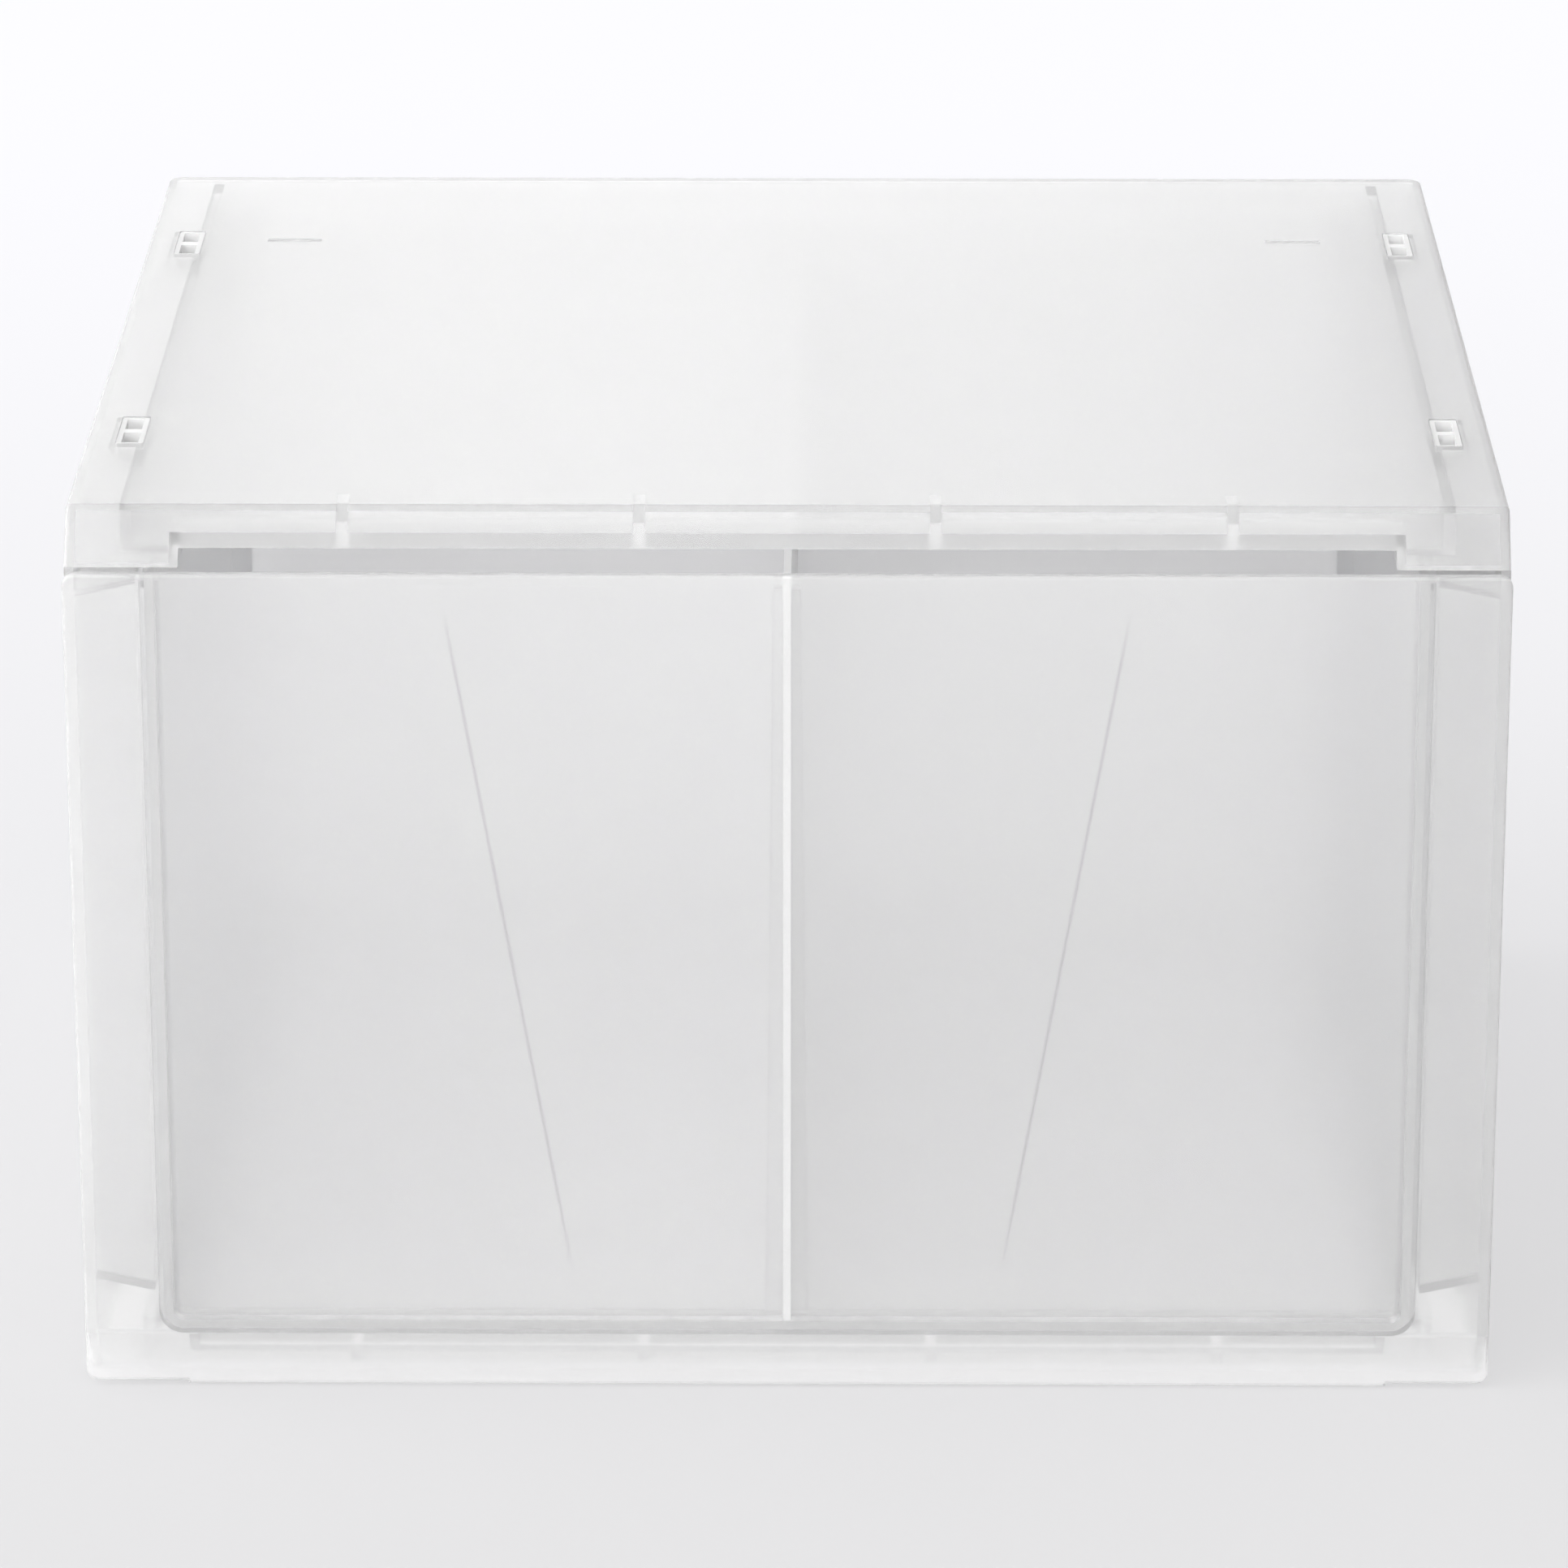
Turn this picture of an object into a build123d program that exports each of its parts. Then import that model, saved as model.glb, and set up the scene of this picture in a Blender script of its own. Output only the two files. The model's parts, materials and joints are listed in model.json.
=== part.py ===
"""Frosted polypropylene shoe box: a case of snapped panels and one drawer with a centre divider.

The case is two identical tray-shaped panels (one the mirror of the other), two side panels and a
back panel. The drawer is an open-fronted tub, a full-height front panel that plugs onto it, and a
divider that lifts out of its slots. Four small inserts fill the stacking pockets in the top.

Frame: x runs across the box, y from the drawer front to the back, z up. The origin is the centre
of the footprint, on the surface that the box stands on. All sizes are in millimetres.
"""
from build123d import *
import os

# ---- overall sizes ----
WIDTH = 370.0                 # across the drawer front
DEPTH = 340.0                 # face of the drawer front to the back of the case
HEIGHT = 240.0                # underside of the base to the top face

# ---- wall thicknesses ----
CASE_WALL = 2.5               # plates, skirts, nose and side panels
BACK_WALL = 2.2
FLANGE_WALL = 2.0             # turned-in edges of the side panels
FRONT_WALL = 2.8
TUB_WALL = 2.2
DIVIDER_WALL = 2.0
RIB_WALL = 1.4                # ribs that grip the edge of the tub and of the divider

# ---- clearances ----
SEAT_GAP = 0.1                # between pieces that are snapped or plugged together
SLIDE_GAP = 0.2               # under the drawer's skids, and round the divider
NOSE_GAP = 0.5                # drawer front to the tip of the nose
FLANGE_GAP = 0.7              # drawer front to the side panels
FRONT_TOP_GAP = 1.0           # drawer front to the edge of the top panel's skirt
TUB_TOP_GAP = 3.0             # rim of the tub to the edge of the top panel's skirt
TUB_REAR_GAP = 5.2            # back of the tub to the back panel
TUB_FLANGE_GAP = 2.5          # side of the tub to the turned-in edge of a side panel
BACK_SIDE_GAP = 0.2

# ---- top and bottom panels ----
CASE_INSET = 0.4              # the case is this much narrower than the drawer front, each side
SKIRT_HEIGHT = 14.0
NOSE_RUN = 9.7                # how far the front rail leans forward over the skirt's height
REAR_CORNER = 4.0
PLATE_EDGE = 1.4
FRONT_EDGE = 0.9
TUB_SIDE_SPACE = 18.1         # side of the tub to the inner face of a side panel
GUIDE_OFFSET = 4.0            # side of the tub to the guide web
GUIDE_WALL = 3.0
GUIDE_FRONT_SETBACK = 15.0    # guide web behind the drawer front's face
GUIDE_REAR_GAP = 2.2
LEDGE_WALL = 1.8
LEDGE_REACH = 8.0             # the ledge passes under the tub by this much

# ---- finger recess in the nose ----
RECESS_HALF = 155.5
RECESS_HEIGHT = 4.3           # cut out of the free edge of the nose
LIP_WALL = 2.5
LIP_REAR_SETBACK = 24.0       # back edge of the lip behind the drawer front's face
GUSSET_WALL = 3.0
GUSSET_PITCH = 76.0
GUSSET_COUNT = 4

# ---- stacking pockets and their inserts ----
POCKET_WIDTH = 7.5
POCKET_LENGTH = 24.5
POCKET_DEPTH = 6.0
POCKET_WALL = 1.5
POCKET_EDGE_INSET = 11.6      # centre of a pocket to the side of the case
POCKET_FRONT_SETBACK = 79.0   # centre of a front pocket behind the drawer front's face
POCKET_REAR_SETBACK = 74.0    # centre of a rear pocket ahead of the back
INSERT_GAP = 0.2
INSERT_SUNK = 0.3             # top of an insert below the top face
INSERT_WALL = 1.3
INSERT_FLOOR = 1.6
INSERT_PEG = 3.0

# ---- gate marks ----
GATE_LENGTH = 15.5
GATE_WIDTH = 4.0
GATE_DEPTH = 0.4
GATE_X = 143.0
GATE_REAR_SETBACK = 72.0

# ---- side panels ----
RIM_TIP_INSET = 4.5           # tip of the top and bottom rims to the edge of the side panel
RIM_ROOT_INSET = 8.1          # root of those rims to the edge of the side panel
LOWER_RIM_DROP = 7.8          # the bottom rims sit this much further in than the top ones
SNAP_WIDTH = 12.0
SNAP_WALL = 2.4
SNAP_REACH = 5.1              # a snap tab passes the edge of the side panel by this much
SNAP_ROOT = 12.0
SNAP_FRONT_SETBACKS = (52.0, 107.0)
SNAP_REAR_SETBACKS = (102.0, 47.0)

# ---- drawer ----
TUB_REAR_CORNER = 8.0
TUB_BOTTOM_CORNER = 5.0
BEAD_REACH = 1.2
BEAD_HEIGHT = 3.0
SKID_WIDTH = 4.0
SKID_HEIGHT = 1.8
SKID_INSET = 2.0
STOP_REAR_SETBACK = 90.0      # front of the stop rib ahead of the back
STOP_THICK = 3.0
STOP_REACH = 7.0
STOP_BOTTOM = 40.0
STOP_HEIGHT = 160.0
GROOVE_DEPTH = 5.0
SLOT_DEPTH = 4.0
SLOT_RIB_TOP = 2.4            # width of the front slot ribs at the top of the drawer front
SLOT_RIB_BOTTOM = 4.4
REAR_RIB = 2.0
DIVIDER_DROP = 3.0            # top of the divider below the rim of the tub
DIVIDER_CORNER = 6.0
FRONT_FOOT = 0.8              # the middle of the drawer front ends this far above the base
FRONT_FOOT_STEP = 0.8
FRONT_CORNER = 3.0
FRONT_EDGE_ROUND = 0.8

# ---- planes that the pieces share ----
FACE_Y = -DEPTH / 2
REAR_Y = DEPTH / 2
FRONT_BACK_Y = FACE_Y + FRONT_WALL
NOSE_TIP_Y = FRONT_BACK_Y + NOSE_GAP
PLATE_FRONT_Y = NOSE_TIP_Y + NOSE_RUN
FLANGE_Y = FRONT_BACK_Y + FLANGE_GAP
CASE_HALF = WIDTH / 2 - CASE_INSET
CASE_INNER_HALF = CASE_HALF - CASE_WALL
TUB_HALF = CASE_INNER_HALF - TUB_SIDE_SPACE
BACK_Y = REAR_Y - CASE_WALL - SEAT_GAP - BACK_WALL
TUB_FRONT_Y = FRONT_BACK_Y + SEAT_GAP
TUB_REAR_Y = BACK_Y - TUB_REAR_GAP
TUB_BOTTOM_Z = SKIRT_HEIGHT + SLIDE_GAP + SKID_HEIGHT
TUB_FLOOR_Z = TUB_BOTTOM_Z + TUB_WALL
TUB_TOP_Z = HEIGHT - SKIRT_HEIGHT - TUB_TOP_GAP
FRONT_TOP_Z = HEIGHT - SKIRT_HEIGHT - FRONT_TOP_GAP
SIDE_BOTTOM_Z = SKIRT_HEIGHT + SEAT_GAP
SIDE_TOP_Z = HEIGHT - SKIRT_HEIGHT - SEAT_GAP
DIVIDER_HALF = DIVIDER_WALL / 2
SLOT_HALF = DIVIDER_HALF + SLIDE_GAP
POCKET_X = CASE_HALF - POCKET_EDGE_INSET
SIDES = (("left", -1), ("right", 1))
ENDS = (("front", FACE_Y + POCKET_FRONT_SETBACK), ("rear", REAR_Y - POCKET_REAR_SETBACK))


def block(x0, x1, y0, y1, z0, z1):
    """A box between two opposite corners, given in any order."""
    middle = ((x0 + x1) / 2, (y0 + y1) / 2, (z0 + z1) / 2)
    return Pos(*middle) * Box(abs(x1 - x0), abs(y1 - y0), abs(z1 - z0))


def slab(half_width, *points):
    """A prism across the box, with a section given as (y, z) corners."""
    face = make_face(Polyline(*[(0, y, z) for y, z in points], close=True))
    return extrude(face, half_width, dir=(1, 0, 0), both=True)


def strip(y0, y1, *points):
    """A prism along the box, with a section given as (x, z) corners."""
    face = make_face(Polyline(*[(x, y0, z) for x, z in points], close=True))
    return extrude(face, y1 - y0, dir=(0, 1, 0))


def mirrored(shape):
    """A shape and its mirror image in the middle plane of the box."""
    return shape + mirror(shape, about=Plane.YZ)


def nose_y(z):
    """Outer face of the sloped front rail at a height above the plate's outer face."""
    return PLATE_FRONT_Y - NOSE_RUN * z / SKIRT_HEIGHT


def tray():
    """Plate, skirts and sloped nose, and the solid envelope that they are cut from."""
    envelope = slab(
        CASE_HALF,
        (PLATE_FRONT_Y, 0),
        (REAR_Y, 0),
        (REAR_Y, SKIRT_HEIGHT),
        (NOSE_TIP_Y, SKIRT_HEIGHT),
    )
    upright = envelope.edges().filter_by(Axis.Z).filter_by(lambda e: e.center().Y > 0)
    envelope = fillet(upright, REAR_CORNER)
    face = envelope.faces().sort_by(Axis.Z)[0]
    front = face.edges().sort_by(Axis.Y)[0]
    envelope = fillet([e for e in face.edges() if e.center().Y > front.center().Y + 1], PLATE_EDGE)
    front = envelope.faces().sort_by(Axis.Z)[0].edges().sort_by(Axis.Y)[0]
    envelope = fillet(front, FRONT_EDGE)

    slope = (NOSE_RUN**2 + SKIRT_HEIGHT**2) ** 0.5 / SKIRT_HEIGHT
    nose_wall = CASE_WALL * slope
    above = SKIRT_HEIGHT + CASE_WALL
    hollow = slab(
        CASE_INNER_HALF,
        (nose_y(CASE_WALL) + nose_wall, CASE_WALL),
        (REAR_Y - CASE_WALL, CASE_WALL),
        (REAR_Y - CASE_WALL, above),
        (nose_y(above) + nose_wall, above),
    )
    upright = hollow.edges().filter_by(Axis.Z).filter_by(lambda e: e.center().Y > 0)
    hollow = fillet(upright, REAR_CORNER - CASE_WALL)
    return envelope - hollow, envelope


def panel():
    """The bottom panel: a tray with guide webs, a finger recess and stacking pockets."""
    body, envelope = tray()

    web_x = TUB_HALF + GUIDE_OFFSET
    web_front = FACE_Y + GUIDE_FRONT_SETBACK
    web_rear = BACK_Y - GUIDE_REAR_GAP
    web = block(web_x, web_x + GUIDE_WALL, web_front, web_rear, CASE_WALL / 2, SKIRT_HEIGHT)
    ledge_z = SKIRT_HEIGHT - LEDGE_WALL
    ledge = block(TUB_HALF - LEDGE_REACH, web_x + GUIDE_WALL / 2, web_front, web_rear, ledge_z, SKIRT_HEIGHT)
    body += mirrored(web + ledge)

    recess_z = SKIRT_HEIGHT - RECESS_HEIGHT
    lip_rear = FACE_Y + LIP_REAR_SETBACK
    lip_z = recess_z - LIP_WALL
    lip = block(-RECESS_HALF - LIP_WALL, RECESS_HALF + LIP_WALL, FACE_Y, lip_rear, lip_z, recess_z)
    end_wall = block(RECESS_HALF, RECESS_HALF + LIP_WALL, FACE_Y, lip_rear, lip_z, SKIRT_HEIGHT)
    fittings = lip + mirrored(end_wall)
    for i in range(GUSSET_COUNT):
        x = (i - (GUSSET_COUNT - 1) / 2) * GUSSET_PITCH
        fittings += block(x - GUSSET_WALL / 2, x + GUSSET_WALL / 2, FACE_Y, lip_rear, CASE_WALL / 2, recess_z)
    body += fittings & envelope
    body -= block(-RECESS_HALF, RECESS_HALF, FACE_Y, lip_rear + 1, recess_z, SKIRT_HEIGHT + 1)

    wide = POCKET_WIDTH / 2 + POCKET_WALL
    long = POCKET_LENGTH / 2 + POCKET_WALL
    for _, y in ENDS:
        boss_top = POCKET_DEPTH + POCKET_WALL
        body += mirrored(block(POCKET_X - wide, POCKET_X + wide, y - long, y + long, CASE_WALL / 2, boss_top))
    for _, y in ENDS:
        body -= mirrored(Pos(POCKET_X, y, 0) * pocket_space())
    gate = Pos(GATE_X, REAR_Y - GATE_REAR_SETBACK, 0) * Box(GATE_LENGTH, GATE_WIDTH, 2 * GATE_DEPTH)
    body -= mirrored(gate)
    return body


def pocket_space():
    """The hollow of one stacking pocket, opening downwards at z = 0."""
    space = Pos(0, 0, POCKET_DEPTH / 2 - 0.5) * Box(POCKET_WIDTH, POCKET_LENGTH, POCKET_DEPTH + 1)
    return fillet(space.edges().filter_by(Axis.Z), 0.8)


def bottom_panel():
    return panel()


def top_panel():
    return Pos(0, 0, HEIGHT) * mirror(panel(), about=Plane.XY)


def side_panel(side):
    """An upright wall whose four edges turn inwards, with snap tabs along the top and bottom."""
    wall = block(CASE_INNER_HALF, CASE_HALF, FLANGE_Y, REAR_Y, SIDE_BOTTOM_Z, SIDE_TOP_Z)
    rear_edges = wall.edges().filter_by(Axis.Z).filter_by(lambda e: e.center().Y > 0)
    wall = fillet(rear_edges.sort_by(Axis.X)[-1], CASE_WALL - 0.5)

    inner_x = TUB_HALF + TUB_FLANGE_GAP
    outer_x = CASE_INNER_HALF + CASE_WALL / 2
    low_tip = SIDE_BOTTOM_Z + RIM_TIP_INSET + LOWER_RIM_DROP
    low_root = SIDE_BOTTOM_Z + RIM_ROOT_INSET + LOWER_RIM_DROP
    high_tip = SIDE_TOP_Z - RIM_TIP_INSET + FLANGE_WALL
    high_root = SIDE_TOP_Z - RIM_ROOT_INSET + FLANGE_WALL
    flange_corners = ((inner_x, low_tip), (inner_x, high_tip), (outer_x, high_root), (outer_x, low_root))
    front_flange = strip(FLANGE_Y, FLANGE_Y + FLANGE_WALL, *flange_corners)
    rear_y = BACK_Y - SEAT_GAP
    rear_flange = strip(rear_y - FLANGE_WALL, rear_y, *flange_corners)
    low_rim = strip(
        FLANGE_Y,
        rear_y,
        (inner_x, low_tip),
        (outer_x, low_root),
        (outer_x, low_root + FLANGE_WALL),
        (inner_x, low_tip + FLANGE_WALL),
    )
    high_rim = strip(
        FLANGE_Y,
        rear_y,
        (inner_x, high_tip),
        (outer_x, high_root),
        (outer_x, high_root - FLANGE_WALL),
        (inner_x, high_tip - FLANGE_WALL),
    )
    body = wall + front_flange + rear_flange + low_rim + high_rim
    tab_x = CASE_INNER_HALF - SEAT_GAP
    tab_places = [FACE_Y + setback for setback in SNAP_FRONT_SETBACKS]
    tab_places += [REAR_Y - setback for setback in SNAP_REAR_SETBACKS]
    for y in tab_places:
        y0 = y - SNAP_WIDTH / 2
        y1 = y + SNAP_WIDTH / 2
        for edge, way in ((SIDE_BOTTOM_Z, -1), (SIDE_TOP_Z, 1)):
            tab = block(tab_x - SNAP_WALL, tab_x, y0, y1, edge + way * SNAP_REACH, edge - way * SNAP_ROOT)
            root = block(tab_x - SNAP_WALL, outer_x, y0, y1, edge, edge - way * SNAP_ROOT)
            body += tab + root
    return body if side > 0 else mirror(body, about=Plane.YZ)


def back_panel():
    """A flat sheet behind the turned-in rear edges of the side panels, held by the rear skirts."""
    half = CASE_INNER_HALF - BACK_SIDE_GAP
    z0 = CASE_WALL + SEAT_GAP
    sheet = block(-half, half, BACK_Y, BACK_Y + BACK_WALL, z0, HEIGHT - z0)
    rear_edges = sheet.edges().filter_by(Axis.Z).filter_by(lambda e: e.center().Y > BACK_Y + BACK_WALL / 2)
    return fillet(rear_edges, REAR_CORNER - CASE_WALL)


def insert():
    """A small open tray with a square peg, which fills a stacking pocket of the top panel."""
    wide = POCKET_WIDTH - 2 * INSERT_GAP
    long = POCKET_LENGTH - 2 * INSERT_GAP
    tall = POCKET_DEPTH - INSERT_SUNK
    body = Pos(0, 0, tall / 2) * Box(wide, long, tall)
    body = fillet(body.edges().filter_by(Axis.Z), 0.8)
    space = Box(wide - 2 * INSERT_WALL, long - 2 * INSERT_WALL, tall)
    body -= Pos(0, 0, INSERT_FLOOR + tall / 2) * space
    peg = block(-wide / 2, wide / 2, -INSERT_PEG / 2, INSERT_PEG / 2, 0, tall)
    return body + peg


def tub_shape(half, rear, bottom, top, corner, edge):
    """A block with rounded rear corners and rounded bottom edges, open-ended at the front."""
    body = block(-half, half, TUB_FRONT_Y, rear, bottom, top)
    upright = body.edges().filter_by(Axis.Z).filter_by(lambda e: e.center().Y > 0)
    body = fillet(upright, corner)
    base = body.faces().sort_by(Axis.Z)[0]
    front = base.edges().sort_by(Axis.Y)[0].center().Y
    return fillet([e for e in base.edges() if e.center().Y > front + 1], edge)


def drawer_tub():
    """The tub, open at the front, with a beaded rim, skids, stop ribs and a divider slot."""
    outer = tub_shape(TUB_HALF, TUB_REAR_Y, TUB_BOTTOM_Z, TUB_TOP_Z, TUB_REAR_CORNER, TUB_BOTTOM_CORNER)
    inner_half = TUB_HALF - TUB_WALL
    inner_rear = TUB_REAR_Y - TUB_WALL
    inner = tub_shape(
        inner_half,
        inner_rear,
        TUB_FLOOR_Z,
        TUB_TOP_Z + 1,
        TUB_REAR_CORNER - TUB_WALL,
        TUB_BOTTOM_CORNER - TUB_WALL,
    )

    bead_front = FRONT_BACK_Y + GROOVE_DEPTH + SEAT_GAP
    bead_half = TUB_HALF + BEAD_REACH
    bead = block(-bead_half, bead_half, bead_front, TUB_REAR_Y + BEAD_REACH, TUB_TOP_Z - BEAD_HEIGHT, TUB_TOP_Z)
    upright = bead.edges().filter_by(Axis.Z).filter_by(lambda e: e.center().Y > 0)
    bead = fillet(upright, TUB_REAR_CORNER + BEAD_REACH)
    body = outer + bead - inner

    skid_x = TUB_HALF - SKID_INSET - SKID_WIDTH
    skid_front = TUB_FRONT_Y + GROOVE_DEPTH + 1
    skid_rear = TUB_REAR_Y - TUB_BOTTOM_CORNER
    skid_z = TUB_BOTTOM_Z - SKID_HEIGHT
    skid = block(skid_x, skid_x + SKID_WIDTH, skid_front, skid_rear, skid_z, TUB_BOTTOM_Z + TUB_WALL / 2)
    inside = block(0, TUB_HALF, skid_front, skid_rear, TUB_BOTTOM_Z, TUB_TOP_Z)
    skid -= inside & inner
    stop_y = REAR_Y - STOP_REAR_SETBACK
    stop_x = TUB_HALF - TUB_WALL / 2
    stop_top = STOP_BOTTOM + STOP_HEIGHT
    stop = block(stop_x, TUB_HALF + STOP_REACH, stop_y, stop_y + STOP_THICK, STOP_BOTTOM, stop_top)
    slot_front = inner_rear - SLOT_DEPTH
    slot_top = TUB_TOP_Z - DIVIDER_DROP - 2
    slot = block(
        SLOT_HALF,
        SLOT_HALF + REAR_RIB,
        slot_front,
        inner_rear + TUB_WALL / 2,
        TUB_FLOOR_Z - TUB_WALL / 2,
        slot_top,
    )
    return body + mirrored(skid + stop + slot)


def groove_band(half, bottom, corner):
    """A U-shaped plug across the drawer front, to the depth of the tub's groove."""
    y0 = FRONT_BACK_Y - FRONT_WALL / 2
    y1 = FRONT_BACK_Y + GROOVE_DEPTH
    band = block(-half, half, y0, y1, bottom, TUB_TOP_Z)
    low = band.edges().filter_by(Axis.Y).sort_by(Axis.Z)[:2]
    return fillet(low, corner)


def drawer_front():
    """The full-height front, with a grooved U that takes the tub's edge and a divider slot."""
    half = WIDTH / 2
    middle = RECESS_HALF + LIP_WALL
    foot = FRONT_FOOT + FRONT_FOOT_STEP
    sheet = block(-half, half, FACE_Y, FRONT_BACK_Y, foot, FRONT_TOP_Z)
    sheet = fillet(sheet.edges().filter_by(Axis.Y), FRONT_CORNER)
    sheet += block(-middle, middle, FACE_Y, FRONT_BACK_Y, FRONT_FOOT, foot + 1)
    face = sheet.faces().sort_by(Axis.Y)[0]
    sheet = fillet(face.edges(), FRONT_EDGE_ROUND)

    outer_gap = groove_band(TUB_HALF + SEAT_GAP, TUB_BOTTOM_Z - SEAT_GAP, TUB_BOTTOM_CORNER + SEAT_GAP)
    reach = SEAT_GAP + RIB_WALL
    outer = groove_band(TUB_HALF + reach, TUB_BOTTOM_Z - reach, TUB_BOTTOM_CORNER + reach)
    inner_corner = TUB_BOTTOM_CORNER - TUB_WALL
    inner_half = TUB_HALF - TUB_WALL
    inner = groove_band(inner_half - SEAT_GAP, TUB_FLOOR_Z + SEAT_GAP, inner_corner - SEAT_GAP)
    core = groove_band(inner_half - reach, TUB_FLOOR_Z + reach, inner_corner - SEAT_GAP)
    ribs = (outer - outer_gap) + (inner - core)

    slot_y = FRONT_BACK_Y + SLOT_DEPTH
    rib_bottom = TUB_FLOOR_Z + SEAT_GAP
    rib_top = TUB_TOP_Z - 2
    slot_rib = strip(
        FRONT_BACK_Y - FRONT_WALL / 2,
        slot_y,
        (SLOT_HALF, rib_bottom),
        (SLOT_HALF + SLOT_RIB_BOTTOM, rib_bottom),
        (SLOT_HALF + SLOT_RIB_TOP, rib_top),
        (SLOT_HALF, rib_top),
    )
    slot = block(-SLOT_HALF, SLOT_HALF, FRONT_BACK_Y, slot_y + GROOVE_DEPTH, rib_bottom, TUB_TOP_Z)
    return sheet + ((ribs + mirrored(slot_rib)) - slot)


def divider():
    """A plain sheet that drops into the slots at the front and back of the drawer."""
    y0 = FRONT_BACK_Y + SLIDE_GAP
    y1 = TUB_REAR_Y - TUB_WALL - SLIDE_GAP
    z0 = TUB_FLOOR_Z + SLIDE_GAP
    z1 = TUB_TOP_Z - DIVIDER_DROP
    sheet = block(-DIVIDER_HALF, DIVIDER_HALF, y0, y1, z0, z1)
    corners = sheet.edges().filter_by(Axis.X).filter_by(lambda e: e.center().Z > HEIGHT / 2)
    sheet = fillet(corners, DIVIDER_CORNER)
    low = sheet.edges().filter_by(Axis.X).filter_by(lambda e: e.center().Z < HEIGHT / 2)
    return fillet(low.sort_by(Axis.Y)[-1], TUB_BOTTOM_CORNER)


def build():
    parts = {
        "bottom_panel": bottom_panel(),
        "top_panel": top_panel(),
        "back_panel": back_panel(),
        "drawer_tub": drawer_tub(),
        "drawer_front": drawer_front(),
        "divider": divider(),
    }
    for name, side in SIDES:
        parts[f"{name}_side_panel"] = side_panel(side)
        for end, y in ENDS:
            place = Pos(side * POCKET_X, y, HEIGHT - POCKET_DEPTH)
            parts[f"pocket_insert_{end}_{name}"] = place * insert()
    return parts


os.makedirs("parts", exist_ok=True)
for node, shape in build().items():
    export_step(shape, f"parts/{node}.step")
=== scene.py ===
import json
import math

import bpy
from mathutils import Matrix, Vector


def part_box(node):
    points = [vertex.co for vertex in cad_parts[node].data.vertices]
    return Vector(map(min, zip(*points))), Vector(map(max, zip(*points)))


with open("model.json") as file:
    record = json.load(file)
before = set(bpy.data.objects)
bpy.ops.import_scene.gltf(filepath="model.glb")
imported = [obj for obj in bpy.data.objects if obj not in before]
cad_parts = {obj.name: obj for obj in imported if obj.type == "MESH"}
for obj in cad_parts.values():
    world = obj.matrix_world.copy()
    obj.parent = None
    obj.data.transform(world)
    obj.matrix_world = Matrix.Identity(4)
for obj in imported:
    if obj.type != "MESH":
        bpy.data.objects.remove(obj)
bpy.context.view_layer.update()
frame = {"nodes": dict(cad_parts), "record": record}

MM = 0.001

# ---- camera ----
CAMERA_AT = Vector((0.013, -2.043, 0.825))
CAMERA_PITCH = 19.3           # degrees below the horizon
CAMERA_YAW = 0.42             # degrees, turned to the left
CAMERA_LENS = 177.3           # on a sensor of the next width
CAMERA_SENSOR = 36.0
CAMERA_REACH = 50.0

# ---- light ----
SKY_LEVEL = 1.16
SKY_COLOUR = (1.0, 0.999, 1.0, 1.0)
BANKS = (
    # strength, towards, cosine where it starts, cosine where it is full
    (1.15, (-0.30, -0.92, 0.25), 0.0, 0.9),       # in front
    (3.8, (-0.95, -0.20, 0.22), 0.5, 1.0),        # left, low
    (-0.58, (0.90, 0.0, 0.43), -0.4, 0.8),        # right, which is dimmer
    (0.15, (-0.15, 0.90, 0.42), 0.80, 1.0),       # behind, overhead
    (0.7, (-0.032, 0.963, 0.269), 0.990, 1.0),    # the gleam on the top
)
BOUNCES = 64                  # light that passes through walls or glances off them
SOFT_BOUNCES = 24

# ---- paper ----
PAPER_SIZE = 16.0
PAPER_MIDDLE_Y = 2.0
PAPER_NEAR_Y = -0.75
PAPER_FAR_Y = 1.35
# painted shade and light: the paper's colour is painted darker near the camera and lighter with
# distance, standing in for how the light falls off
PAPER_PAINTED_NEAR = (0.09, 0.0895, 0.09)
PAPER_PAINTED_FAR = (0.12, 0.1215, 0.125)
PAPER_ROUGHNESS = 0.9
# painted light: the paper glows though it is no lamp, which thins the box's shadow; the glow is painted
# dimmer near the camera and brighter with distance
PAPER_PAINTED_GLOW = 0.75
PAINTED_GLOW_NEAR = (0.78, 0.775, 0.78)
PAINTED_GLOW_FAR = (0.955, 0.95, 0.985)

# ---- frosted polypropylene ----
WHITE = (0.992, 0.992, 0.992)
DARKEST = 0.80                # darkest mark, as a share of the colour
FROST_IOR = 1.42
FROST_ROUGHNESS = 0.26
ROUGHNESS_SWING = 0.006
CLOUD_SCALE = 9.0             # soft flow patches per metre
GRAIN_SCALE = 1400.0          # frosting grains per metre
GRAIN_DEPTH = 0.05 * MM
GRAIN_STRENGTH = 0.08

# ---- flow lines in the drawer front ----
FLOW_FOOT_X = 0.054           # each line's distance from the middle, at the next height
FLOW_FOOT_Z = 0.02
FLOW_LEAN = 0.173
FLOW_WIDTH = 0.8 * MM
FLOW_MARK = 0.65
FLOW_FADE = (0.02, 0.06, 0.03, 0.002)    # start and end above the foot, then below the top


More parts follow.
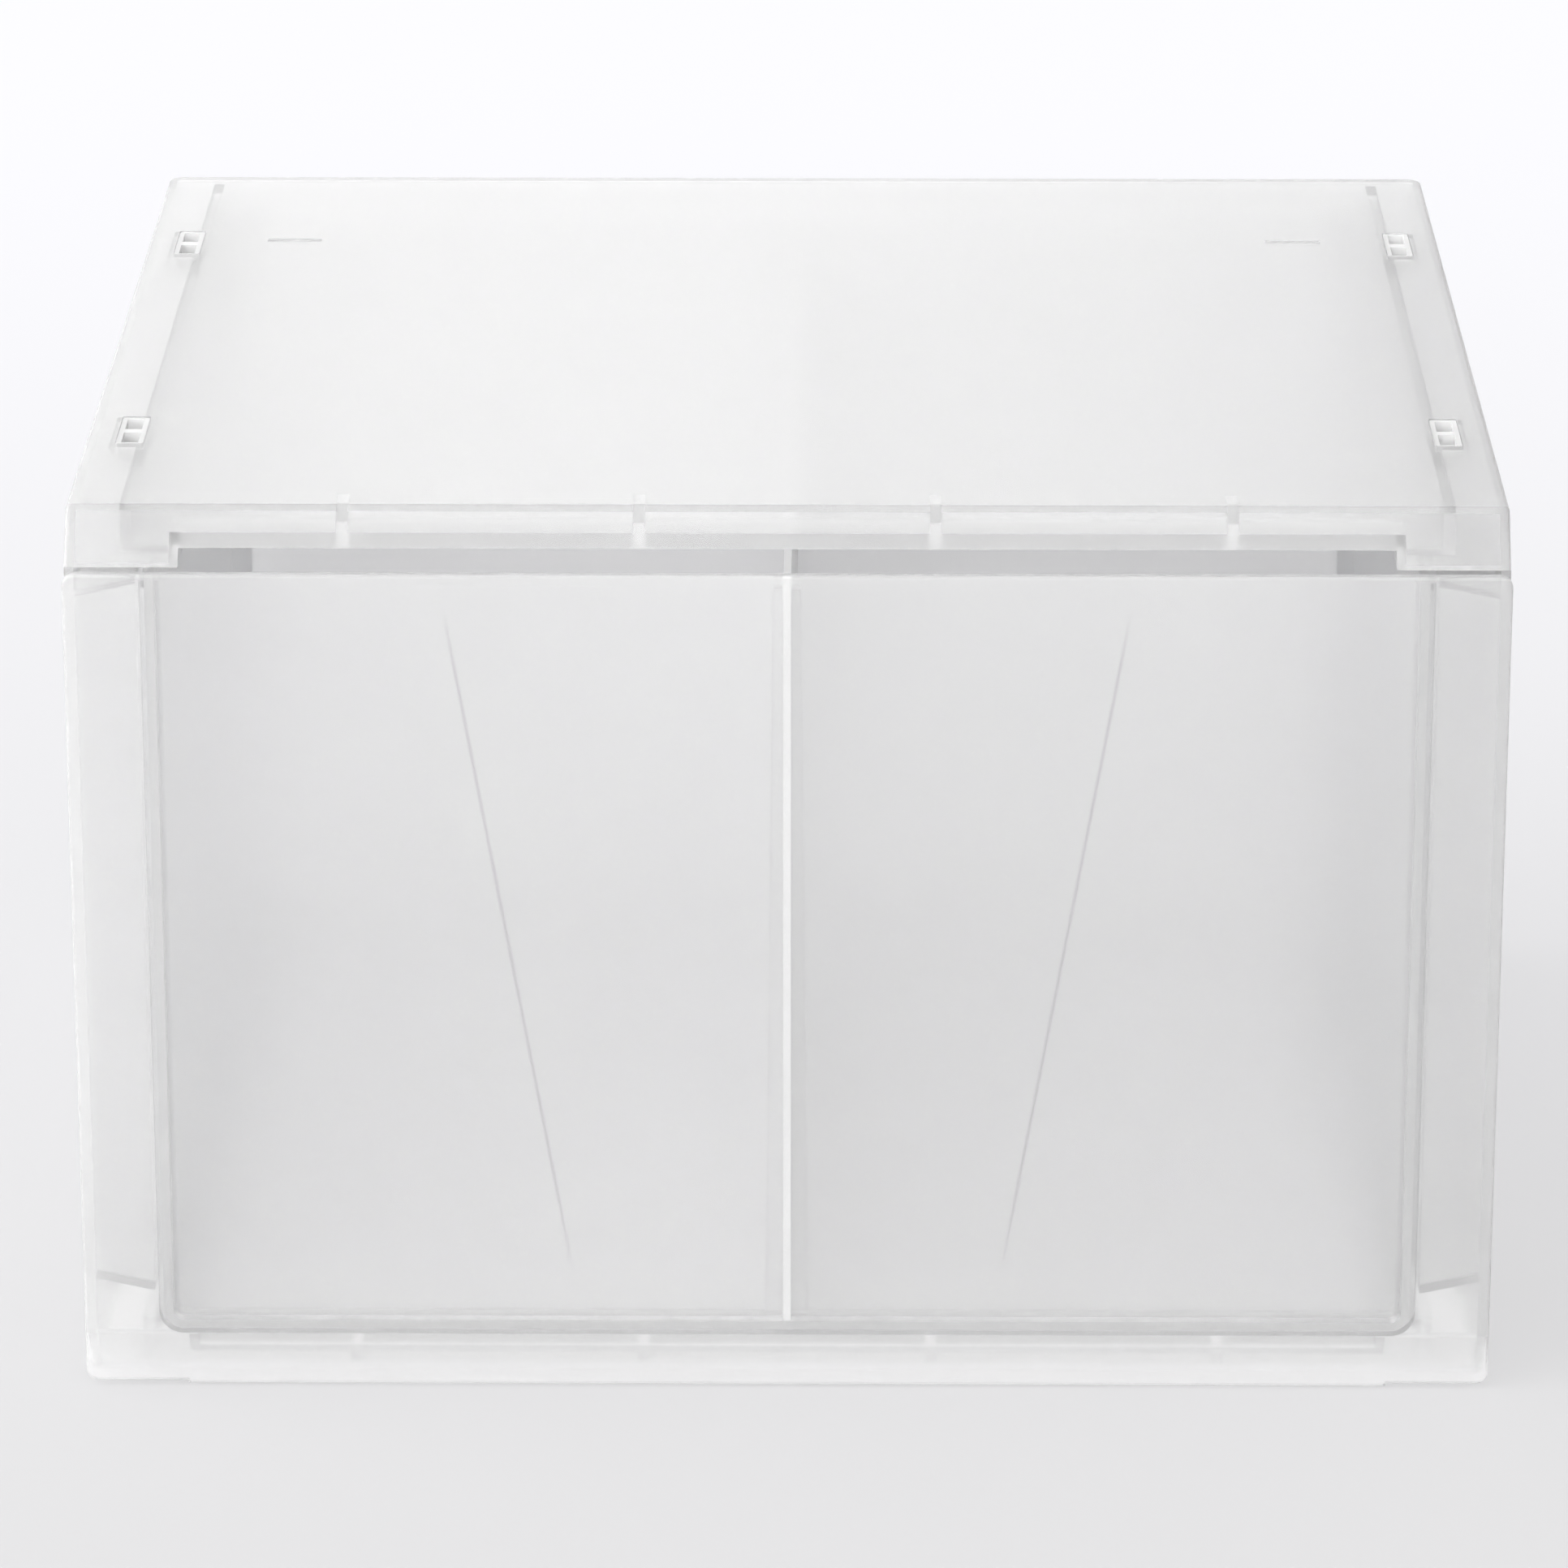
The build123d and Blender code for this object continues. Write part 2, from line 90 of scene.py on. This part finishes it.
# ---------------------------------------------------------------- shader maths
class Socket:
    """A node's output that takes part in arithmetic: each operator adds a Math node."""

    def __init__(self, graph, output):
        self.graph = graph
        self.output = output

    def math(self, operation, *values):
        inputs = dict(enumerate(values))
        return self.graph.node("ShaderNodeMath", {"operation": operation}, inputs)

    def __add__(self, other):
        return self.math("ADD", self, other)

    def __radd__(self, other):
        return self.math("ADD", other, self)

    def __sub__(self, other):
        return self.math("SUBTRACT", self, other)

    def __rsub__(self, other):
        return self.math("SUBTRACT", other, self)

    def __mul__(self, other):
        return self.math("MULTIPLY", self, other)

    def __rmul__(self, other):
        return self.math("MULTIPLY", other, self)

    def __abs__(self):
        return self.math("ABSOLUTE", self)


class Graph:
    """The nodes of one material or world."""

    def __init__(self, owner):
        self.owner = owner
        self.owner.use_nodes = True
        self.tree = self.owner.node_tree
        self.tree.nodes.clear()

    def node(self, kind, settings=None, inputs=None, output=0):
        """Adds a node of any kind: settings first, then values or links for its sockets."""
        made = self.tree.nodes.new(kind)
        for key, value in (settings or {}).items():
            setattr(made, key, value)
        for key, value in (inputs or {}).items():
            if isinstance(value, Socket):
                self.tree.links.new(value.output, made.inputs[key])
            else:
                made.inputs[key].default_value = value
        return None if output is None else Socket(self, made.outputs[output])

    def place(self):
        """Object coordinates as (vector, x, y, z), in metres in the shared frame."""
        point = self.node("ShaderNodeTexCoord", output="Object")
        split = self.node("ShaderNodeSeparateXYZ", inputs={0: point})
        outputs = split.output.node.outputs
        return point, *(Socket(self, outputs[axis]) for axis in "XYZ")

    def noise(self, point, scale, detail):
        sockets = {"Vector": point, "Scale": scale, "Detail": detail, "Roughness": 0.5}
        return self.node("ShaderNodeTexNoise", {"noise_dimensions": "3D"}, sockets)

    def smooth(self, value, start, end, low=0.0, high=1.0):
        """Runs from low to high as value goes from start to end."""
        sockets = {0: value, 1: start, 2: end, 3: low, 4: high}
        return self.node("ShaderNodeMapRange", {"interpolation_type": "SMOOTHSTEP"}, sockets)

    def tint(self, factor, low, high):
        """A colour between two colours."""
        sockets = {0: factor, 6: (*low, 1.0), 7: (*high, 1.0)}
        return self.node("ShaderNodeMix", {"data_type": "RGBA"}, sockets, output=2)

    def surface(self, shader, kind="ShaderNodeOutputMaterial"):
        self.node(kind, inputs={"Surface": shader}, output=None)
        return self.owner


# ---------------------------------------------------------------- plastics
def frosted(name, clear, mark=None):
    """Frosted polypropylene. clear is how much light passes unscattered by the milky body."""
    g = Graph(bpy.data.materials.new(name))
    point, x, y, z = g.place()
    cloud = g.noise(point, CLOUD_SCALE, detail=3.0)
    grain = g.noise(point, GRAIN_SCALE, detail=1.0)
    tone = g.smooth(cloud, 0.3, 0.7, 0.95, 1.0)
    if mark is not None:
        tone = tone - mark(g, x, z)
    dark = tuple(channel * DARKEST for channel in WHITE)
    colour = g.tint(tone, dark, WHITE)
    bump = g.node(
        "ShaderNodeBump",
        inputs={"Strength": GRAIN_STRENGTH, "Distance": GRAIN_DEPTH, "Height": grain},
    )
    smoothest = FROST_ROUGHNESS - ROUGHNESS_SWING
    roughest = FROST_ROUGHNESS + ROUGHNESS_SWING
    sockets = {
        "Base Color": colour,
        "Roughness": g.smooth(cloud, 0.25, 0.75, smoothest, roughest),
        "IOR": FROST_IOR,
        "Transmission Weight": clear,
        "Normal": bump,
    }
    return g.surface(g.node("ShaderNodeBsdfPrincipled", inputs=sockets))


def flow_lines(g, x, z):
    """The two faint lines where the melt met in the drawer front."""
    foot, top = (corner.z for corner in map(Vector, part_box("drawer_front")))
    low_start, low_end, high_start, high_end = FLOW_FADE
    away = abs(abs(x) - FLOW_FOOT_X - (z - FLOW_FOOT_Z) * FLOW_LEAN)
    line = g.smooth(away, 0.0, FLOW_WIDTH, 1.0, 0.0)
    lower_end = g.smooth(z, foot + low_start, foot + low_end)
    upper_end = g.smooth(z, top - high_start, top - high_end, 1.0, 0.0)
    return line * (lower_end * upper_end) * FLOW_MARK


MATERIALS = {
    "case": frosted("frosted_case", 0.88),
    "front": frosted("frosted_drawer_front", 0.85, mark=flow_lines),
    "drawer": frosted("frosted_drawer", 0.75),
    "divider": frosted("frosted_divider", 0.20),
    "insert": frosted("satin_insert", 0.55),
}


def finish_nodes():
    """Gives every CAD node its plastic."""
    for row in frame["record"]["subparts"]:
        node = frame["nodes"][row["node"]]
        key = "front" if row["node"] == "drawer_front" else row["material_slot"]
        for slot in node.material_slots:
            slot.material = MATERIALS[key]


# ---------------------------------------------------------------- studio
def paper():
    """The pale paper that the box stands on; it glows as painted light that thins the box's shadow, and
    its colour and glow are painted darker near the camera and lighter with distance.
    """
    g = Graph(bpy.data.materials.new("paper"))
    point, x, y, z = g.place()
    # painted shade and light: colour and glow run from darker near the camera to lighter with distance
    painted_falloff = g.smooth(y, PAPER_NEAR_Y, PAPER_FAR_Y)
    sockets = {
        "Base Color": g.tint(painted_falloff, PAPER_PAINTED_NEAR, PAPER_PAINTED_FAR),
        "Roughness": PAPER_ROUGHNESS,
        "Emission Color": g.tint(painted_falloff, PAINTED_GLOW_NEAR, PAINTED_GLOW_FAR),
        "Emission Strength": PAPER_PAINTED_GLOW,
    }
    return g.surface(g.node("ShaderNodeBsdfPrincipled", inputs=sockets))


def floor():
    bpy.ops.object.select_all(action="DESELECT")
    bpy.ops.mesh.primitive_plane_add(size=PAPER_SIZE, location=(0.0, PAPER_MIDDLE_Y, 0.0))
    sheet = bpy.context.object
    sheet.name = "paper_floor"
    bpy.ops.object.transform_apply(location=True, rotation=True, scale=True)
    sheet.data.materials.append(paper())


def sky():
    """Soft light from all round, with broad banks that brighten or dim a part of it."""
    g = Graph(bpy.data.worlds.new("studio"))
    way = g.node("ShaderNodeTexCoord", output="Generated")
    level = SKY_LEVEL
    for strength, toward, start, end in BANKS:
        level = level + strength * bank(g, way, toward, start, end)
    glow = g.node("ShaderNodeBackground", inputs={"Color": SKY_COLOUR, "Strength": level})
    bpy.context.scene.world = g.surface(glow, "ShaderNodeOutputWorld")


def bank(g, way, toward, start, end):
    """Full along toward, fading to nothing as the cosine falls from end to start."""
    middle = tuple(Vector(toward).normalized())
    cosine = g.node("ShaderNodeVectorMath", {"operation": "DOT_PRODUCT"}, {0: way, 1: middle}, output=1)
    return g.smooth(cosine, start, end)


def camera():
    data = bpy.data.cameras.new("camera")
    data.sensor_width = CAMERA_SENSOR
    data.lens = CAMERA_LENS
    data.clip_end = CAMERA_REACH
    eye = bpy.data.objects.new("camera", data)
    bpy.context.collection.objects.link(eye)
    eye.location = CAMERA_AT
    eye.rotation_euler = (math.radians(90 - CAMERA_PITCH), 0.0, math.radians(CAMERA_YAW))
    bpy.context.scene.camera = eye


def look():
    scene = bpy.context.scene
    scene.view_settings.view_transform = "Standard"
    scene.cycles.max_bounces = BOUNCES
    scene.cycles.transmission_bounces = BOUNCES
    scene.cycles.glossy_bounces = BOUNCES
    scene.cycles.diffuse_bounces = SOFT_BOUNCES


finish_nodes()
floor()
sky()
camera()
look()
